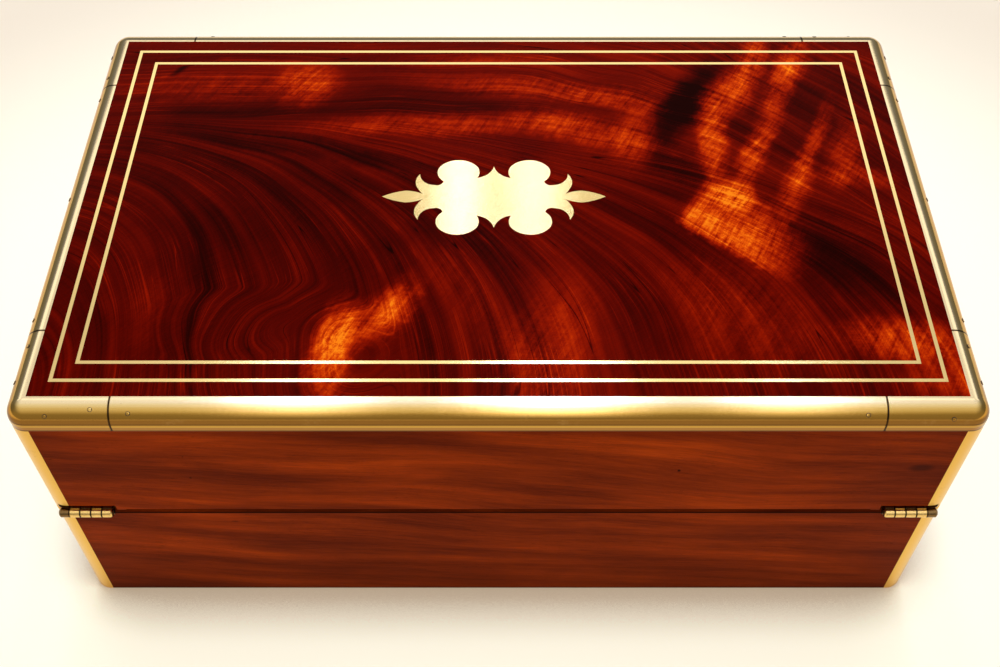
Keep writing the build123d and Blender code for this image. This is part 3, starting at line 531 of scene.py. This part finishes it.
# The rings are arches round the near left corner, as far apart along the near edge as they were in the
# tree and crowded together up the left edge. A knot by the near edge pushes some of them aside.
knot = (((x + 88.0) / 50) ** 2 + ((y + 96.0) / 46) ** 2).rise(1.0, 0.0)
hook = (((x + 118.0) / 34) ** 2 + ((y + 76.0) / 22) ** 2).rise(1.0, 0.0)
roundness = 2.2         # of the arches, where 2 gives quarter ellipses
reach_up = 182.0        # the height on the left edge that they crowd up to
crowding = 12570.0      # how soon they do
along = (x + half_length + knot * 30 + hook * 10 + drift_x * 9).at_least(1.0)
up = (y + half_width + drift_y * 8).at_least(1.0)
crowd = ((up / reach_up) ** roundness).at_most(0.995)
arch = (((along ** roundness + crowding * crowd) / (1.0 - crowd)) ** (1 / roundness)).at_most(460.0)
right = (x + 15.0 + drift_x * 30).at_least(0.0)
crest = y + drift_y * 16 + right ** 2 * 0.0027 - 48.0
ring = arch + crest.at_least(0.0)
trend = (x - y) * 0.7 + drift_x * 30
open_grain = (1.0 - crowd).rise(0.0, 0.3).at_least(crest.rise(2.0, 14.0))

bands = x.cloud(ring / 13, trend / 170, 2.0, 1.0)
layers = x.cloud(ring / 4.2, trend / 130, 6.0, 2.0, 0.55)
lines = x.cloud(ring / 1.3, trend / 110, 3.0, 2.0, 0.6)
threads = abs(x.cloud(ring / 3.1, trend / 150, 60.0, 1.0) - 0.5).rise(0.022, 0.0)
threads = threads + abs(x.cloud(ring / 2.2, trend / 150, 81.0, 0.0) - 0.56).rise(0.016, 0.0) * 0.7
cracks = abs(x.cloud(ring / 7.0, trend / 190, 40.0, 0.0) - 0.47).rise(0.008, 0.0)
cross = x.cloud(trend / 0.8 + drift_y * 9, ring / 12, 8.0, 3.0, 0.65)
patch = x.cloud(x / 60, y / 45, 20.0, 2.0, 0.5)
grit = x.cloud(x / 0.9, y / 0.7, 33.0, 2.0, 0.7)
tone = 0.285 + (bands - 0.5) * 0.36 + (patch - 0.5) * 0.2 + (cross - 0.5) * 0.11 + (grit - 0.5) * 0.07
tone = tone + ((layers - 0.5) * 0.3 + (lines - 0.5) * 0.17) * (open_grain * 0.7 + 0.3)
tone = tone + threads * x.cloud(x / 34, y / 34, 70.0, 1.0).rise(0.36, 0.62) * open_grain * 0.14
tone = tone * (1.0 - cracks * x.cloud(x / 44, y / 44, 50.0, 1.0).rise(0.42, 0.56) * open_grain * 0.7)


def spots(*places):
    """Soft ellipses at places given by centre, half length, half width, turn in degrees and strength."""
    ragged = x.node("CombineXYZ", {}, {0: x + drift_x * 9 + ragged_x * 7, 1: y + drift_y * 9 + ragged_y * 7})
    field = 0.0
    for spot_x, spot_y, long, wide, turn, strength in places:
        spot = x.node("Mapping", {"vector_type": "TEXTURE"}, {
            "Vector": ragged, "Location": (spot_x, spot_y, 0), "Rotation": (0, 0, radians(turn)),
            "Scale": (long * 1.5, wide * 1.5, 1)})
        spot = x.node("TexGradient", {"gradient_type": "SPHERICAL"}, {0: spot}, 1).rise(0.0, 0.8)
        field = spot * strength + field
    return field


# Soft patches of the leaf are darker than the rest, and a strip by the far edge is a little lighter.
tone = tone - spots(
    (20, 98, 190, 20, 0, -0.055), (94, 66, 34, 10, 62, 0.3), (84, 20, 20, 8, -30, 0.16),
    (152, -36, 30, 16, -50, 0.16), (-60, 96, 40, 6, 0, 0.1), (-100, 34, 70, 6, -14, 0.12),
    (-10, -22, 40, 14, -40, 0.08), (-110, -10, 90, 50, -30, 0.08), (-150, -80, 50, 40, 0, 0.05))

# Where the fibres turn up to the light they glow, in patches broken by dark cross figure. The brightest
# is a block to the right, whose sides follow the rays (climb) and the rings (slide) of the wood.
block_x, block_y = 82.7, -16.3
climb = (x - block_x) * 0.673 + (y - block_y) * 0.765 + drift_y * 12
slide = (x - block_x) * 0.884 - (y - block_y) * 0.51 + drift_x * 12
block = (climb + ragged_y * 9).rise(-3.0, 3.0) * (climb + ragged_x * 14).rise(42.0, 20.0)
block = block * (slide + ragged_x * 7).rise(-3.0, 4.0) * (slide + ragged_y * 12).rise(64.0, 36.0) * 0.6
glow = block + spots(
    (-97, 80, 16, 15, 90, 0.4), (-140, 77, 56, 9, 0, 0.2), (-28, 50, 64, 8, 3, 0.3),
    (40, 47, 34, 10, -20, 0.36), (66, 42, 20, 11, 76, 0.3), (24, 76, 60, 8, -6, 0.26),
    (64, 66, 28, 6, -20, 0.26), (-22, 98, 60, 4, 0, 0.14), (131, 98, 22, 7, 70, 0.5),
    (114, 70, 22, 11, 56, 0.48), (104, 38, 28, 7, 88, 0.52), (152, 98, 18, 8, 62, 0.46),
    (143, 80, 20, 7, 66, 0.34), (132, 50, 28, 6, 68, 0.26), (123, 26, 22, 6, 68, 0.4),
    (152, 36, 30, 4, 68, 0.34), (141, 8, 24, 6, 70, 0.34), (111, 0, 11, 9, -40, 0.62),
    (104, -18, 20, 6, -42, 0.14), (166, 30, 22, 8, 74, 0.3), (170, 14, 18, 7, 0, 0.24),
    (176, -84, 28, 11, -8, 0.5), (192, -104, 20, 9, 0, 0.32), (-68, -80, 17, 9, 86, 0.52),
    (-56, -74, 22, 9, 40, 0.32), (-72, -98, 16, 9, 88, 0.44), (-44, -66, 18, 8, 66, 0.38),
    (20, -92, 40, 18, 72, 0.2), (104, -70, 36, 24, -50, 0.16), (-150, -66, 20, 10, 80, 0.08),
    (-10, -64, 40, 10, -56, 0.1))
rays = x.cloud(slide / 1.5, climb / 26, 1.0, 3.0, 0.66)
plume = x.cloud(slide / 6.5, climb / 34, 11.0, 2.0, 0.5)
mottle = x.cloud(x / 3.4, y / 2.6, 30.0, 3.0, 0.7)
pores = grit.rise(0.6, 0.74) * 0.5
cross_figure = rays * 1.7 + plume * 1.5 + mottle * 1.5 + (layers - 0.5) * 1.1 + (grit - 0.5) * 0.8
glow = glow * (cross_figure - 1.45 - pores) * 0.94
tone = tone + glow / (1.0 + glow * 0.5)
colour = tone.ramp(
    (0.05, (0.01, 0.0002, 0.0)), (0.15, (0.03, 0.0004, 0.0)), (0.26, (0.078, 0.001, 0.0)),
    (0.38, (0.155, 0.0028, 0.0)), (0.5, (0.27, 0.0068, 0.0001)), (0.62, (0.43, 0.018, 0.0004)),
    (0.75, (0.63, 0.048, 0.001)), (0.88, (0.84, 0.11, 0.0025)), (1.0, (0.98, 0.24, 0.006)))
feed(shader, "Base Color", colour)
feed(shader, "Roughness", 0.14 + patch * 0.1)
shader.inputs["Specular IOR Level"].default_value = 0.015
shader.inputs["Specular Tint"].default_value = (1, 0.22, 0.03, 1)
height = lines * 0.5 - cracks * 2
feed(shader, "Normal", height.bump(0.05))
dress(veneer, "lid_veneer")


# Stringing and cartouche. Sheet brass let flush into the veneer and scraped level with it, so that it is
# the brightest metal on the lid; the cartouche is sawn out with leaf points and scrolled lobes.
inlay = brass_finish("inlay_brass", (0.88, 0.65, 0.27), (0.76, 0.5, 0.18), 0.05, 0.3)
dress(inlay, "stringing_outer", "stringing_inner", "cartouche")


# Edge band. Four rolled brass mouldings wrap the top edge of the lid, and four cast caps meet them at the
# corners, pinned through and filed flush. The metal is painted pale on top and darker lower down, a painted
# highlight and shade.
case_top = 154.0
rounding = 5.5          # how far down from the top the moulding's rounding shows
bead_top = 146.6
bead_foot = 144.9       # the lip is under it
cap_arm = 44.0          # from the corner of a cap to its joints with the mouldings


def moulding_marks_and_shading(colour, place, stained, patches):
    """Painted highlight and shade down to the lip, painted shade at the corners and in the grooves, and dark
    joints.
    """
    x, y, z = place
    # Painted highlight and shade: pale on the top, which mirrors the bright sky, and darker down the
    # rounding.
    painted_light_ramp = ((z - (case_top - rounding)) / rounding).ramp(
        (0.11, (0.25, 0.11, 0.013)), (0.29, (0.64, 0.31, 0.038)), (0.545, (0.66, 0.34, 0.045)),
        (0.8, (0.67, 0.43, 0.115)), (0.91, (0.8, 0.6, 0.27)), (0.965, (0.9, 0.73, 0.45)))
    colour = (0.95 - stained * 0.3).tint(colour, painted_light_ramp)
    # The bead is painted lighter and the lip under it darker, painted highlight and shade like the rounding.
    bead = (z - bead_top).rise(0.3, -0.1) * (z - bead_foot).rise(-0.2, 0.5)
    colour = (bead * 0.9).tint(colour, (0.56, 0.31, 0.055))
    lip = (z - bead_foot).rise(0.1, -0.3)
    colour = (lip * 0.9).tint(colour, (0.38, 0.175, 0.035))
    # Painted shade, in patches, on the sides of the band near the corners.
    corner = (abs(x) - (half_length - 4.5)).rise(0.0, 3.5) * (abs(y) - (half_width - 31.0)).rise(0.0, 16.0)
    corner = corner * (z - case_top).rise(-0.1, -1.4)
    colour = (corner * (0.35 + patches * 0.7)).tint(colour, (0.16, 0.085, 0.02))
    # The dark lines in the two grooves are painted shade; the joints with the caps are dark.
    grooves = abs(z - (bead_top + 0.3)).rise(0.45, 0.1) + abs(z - (bead_foot - 2.0)).rise(0.6, 0.1)
    joints = abs(abs(x) - (half_length - cap_arm)).rise(0.7, 0.2)
    joints = joints + abs(abs(y) - (half_width - cap_arm)).rise(0.7, 0.2)
    return (grooves * 0.7 + joints * 0.9).rise(0.0, 1.0).tint(colour, (0.06, 0.03, 0.01))


band_brass = brass_finish("band_brass", (0.86, 0.6, 0.25), (0.5, 0.28, 0.07), 0.1, 0.36, moulding_marks_and_shading)
dress(band_brass, *[f"lid_band_{side}" for side in ("hinge", "lock", "left", "right")])
dress(band_brass, *[f"lid_cap_{corner}" for corner in corners])

# Their pins: brass wire driven through the rounding and filed down, with old polish caught round each.
# Each lies on the rounding, whose axis is this far in from the side and down from the top, at so many
# degrees out from upright.
round_radius = 0.0085
axis_x = half_length / 1000 - round_radius
axis_y = half_width / 1000 - round_radius
axis_z = case_top / 1000 - round_radius
long_side_pins = ((-0.1665, 33), (-0.185, 52), (-0.151, 44), (0.151, 48), (0.186, 60))
end_pins = ((-0.104, 55), (-0.0865, 35), (-0.071, 52), (0.002, 55), (0.071, 50), (0.0865, 38), (0.105, 58))
band_pin = turn_disc(24, 0.00095, 0.0004, -0.00018, grime_and_shade, band_brass)
bpy.ops.mesh.inset(thickness=0.0002, depth=0)
paint_picked(band_pin)
bpy.ops.mesh.inset(thickness=0.00035, depth=0)
bpy.ops.transform.translate(value=(0, 0, 0.00005))
bpy.ops.object.mode_set(mode="OBJECT")
for side, side_name in ((-1, "hinge"), (1, "lock")):
    for number, (pin_x, degrees_out) in enumerate(long_side_pins):
        out = radians(degrees_out)
        place = (side * -pin_x, side * (axis_y + round_radius * sin(out)), axis_z + round_radius * cos(out))
        set_copy(band_pin, f"band_pin_{side_name}_{number}", "lid", place, (-side * out, 0, 0))
for end, end_name in ends:
    for number, (pin_y, degrees_out) in enumerate(end_pins):
        out = radians(degrees_out)
        place = (end * (axis_x + round_radius * sin(out)), pin_y, axis_z + round_radius * cos(out))
        set_copy(band_pin, f"band_pin_{end_name}_{number}", "lid", place, (0, end * out, 0))
bpy.data.objects.remove(band_pin)


# Stage. Cream paper under and behind the box, the camera that looks down over the hinge side, and a
# studio sky. That is a pale dome with bright parts for the brass and the polish to mirror: three broad
# panels, three narrow lamps and a glow.
camera_place = (0.00075, -0.40296, 0.56482)
camera_tilt = 38.106
lens = 44.139
bpy.ops.object.select_all(action="DESELECT")
bpy.ops.object.camera_add(location=camera_place, rotation=(radians(camera_tilt), 0, 0))
camera = bpy.context.object
camera.data.lens = lens
camera.data.sensor_width = 36
camera.data.clip_start = 0.01
bpy.context.scene.camera = camera


def ray_kinds(strand):
    """1 for rays from the camera, from a mirror and through glass, as three strands."""
    outputs = strand.node("LightPath").socket.node.outputs
    return [Strand(outputs[f"Is {kind} Ray"]) for kind in ("Camera", "Glossy", "Transmission")]


# The paper also shines a little by itself where it is seen, so that it comes out pale. Its colour is painted
# browner far from the box, a painted falloff of the light, and darker and warmer within a few centimetres of
# it, which deepens the contact shadow and paints in the warm light that the wood throws on it.
bpy.ops.mesh.primitive_plane_add(size=8, location=(0, 0, 0))
floor = bpy.context.object
floor.name = "floor"
paper, shader, (x, y, z) = new_finish("paper")
shader.inputs["Roughness"].default_value = 0.95
shader.inputs["Specular IOR Level"].default_value = 0.05
camera_ray, glossy_ray, clear_ray = ray_kinds(x)
seen = (camera_ray + glossy_ray + clear_ray).at_most(1.0)
# Painted falloff of the light: darker and browner towards the edges of the paper.
far = ((x / 520) ** 2 + ((y - 40) / 420) ** 2).rise(0.1, 1.0)
near = 1.0 - x.node("AmbientOcclusion", {"samples": 8}, {"Distance": 0.045}, 1)
near = (near * 2.2).rise(0.3, 0.95)
lit = near.tint(far.tint((0.78, 0.76, 0.58), (0.6, 0.56, 0.47)), (0.44, 0.37, 0.26))
shining = near.tint(far.tint((0.5, 0.46, 0.34), (0.34, 0.26, 0.13)), (0.25, 0.18, 0.105))
feed(shader, "Base Color", seen.tint((0.93, 0.88, 0.8), lit))
feed(shader, "Emission Color", shining)
feed(shader, "Emission Strength", seen)
floor.data.materials.append(paper)

world = bpy.data.worlds.new("studio")
bpy.context.scene.world = world
world.use_nodes = True
sky = Strand(world.node_tree.nodes.new("ShaderNodeTexCoord").outputs["Generated"])
east, north, high = sky.split()
dome = high.rise(0.42, 0.92) * 0.78 + north.rise(0.0, -0.5) * high.rise(0.9, 0.5) * 0.14

# The glow is beyond the lock side, above the lamps and below them.
upper_glow = high.rise(0.76, 0.81) * 0.55
lower_glow = high.rise(0.76, 0.62) * high.rise(0.54, 0.6) * 0.9
beyond = north.rise(0.3, 0.5) * (upper_glow + lower_glow)

# The panels stand side by side. They start high up beyond the lock side, run over the box and fade down
# the hinge side. The lamps are under them, beyond the lock side, and both are cooler than the rest.
panels = abs(east + 0.163).rise(0.058, 0.008) * 4.0
panels = panels + abs(east - 0.042).rise(0.072, 0.012) * 7.0
panels = panels + abs(east - 0.228).rise(0.048, 0.008) * 3.6
fading = north.rise(0.2, 0.1) * high.rise(0.1, 1.0) * 0.6
panels = panels * (fading + north.rise(0.1, 0.2) * high.rise(0.78, 0.805))
lamps = abs(east + 0.0325).rise(0.014, 0.004) * 3.4
lamps = lamps + abs(east - 0.0146).rise(0.007, 0.001) * 3.4
lamps = lamps + abs(east - 0.0365).rise(0.007, 0.001) * 3.8
lamps = lamps * high.rise(0.66, 0.69) * high.rise(0.78, 0.75)
cool = panels + lamps * north.rise(0.3, 0.5)
level = 0.2 + dome + beyond + cool

# Past the edge of the floor the camera meets the brightness of paper in place of the sky's, and so do
# mirrors and glass where they look along the horizon or below it.
paper_level = 0.95
camera_ray, glossy_ray, clear_ray = ray_kinds(sky)
seen = camera_ray.at_least((glossy_ray + clear_ray) * high.rise(0.06, 0.0))
level = level + seen * (paper_level - level)
background = world.node_tree.nodes["Background"]
feed(background, "Color", (cool / level).tint((1, 0.975, 0.93), (0.85, 0.97, 1.6)))
feed(background, "Strength", level)

bpy.context.scene.view_settings.view_transform = "Standard"
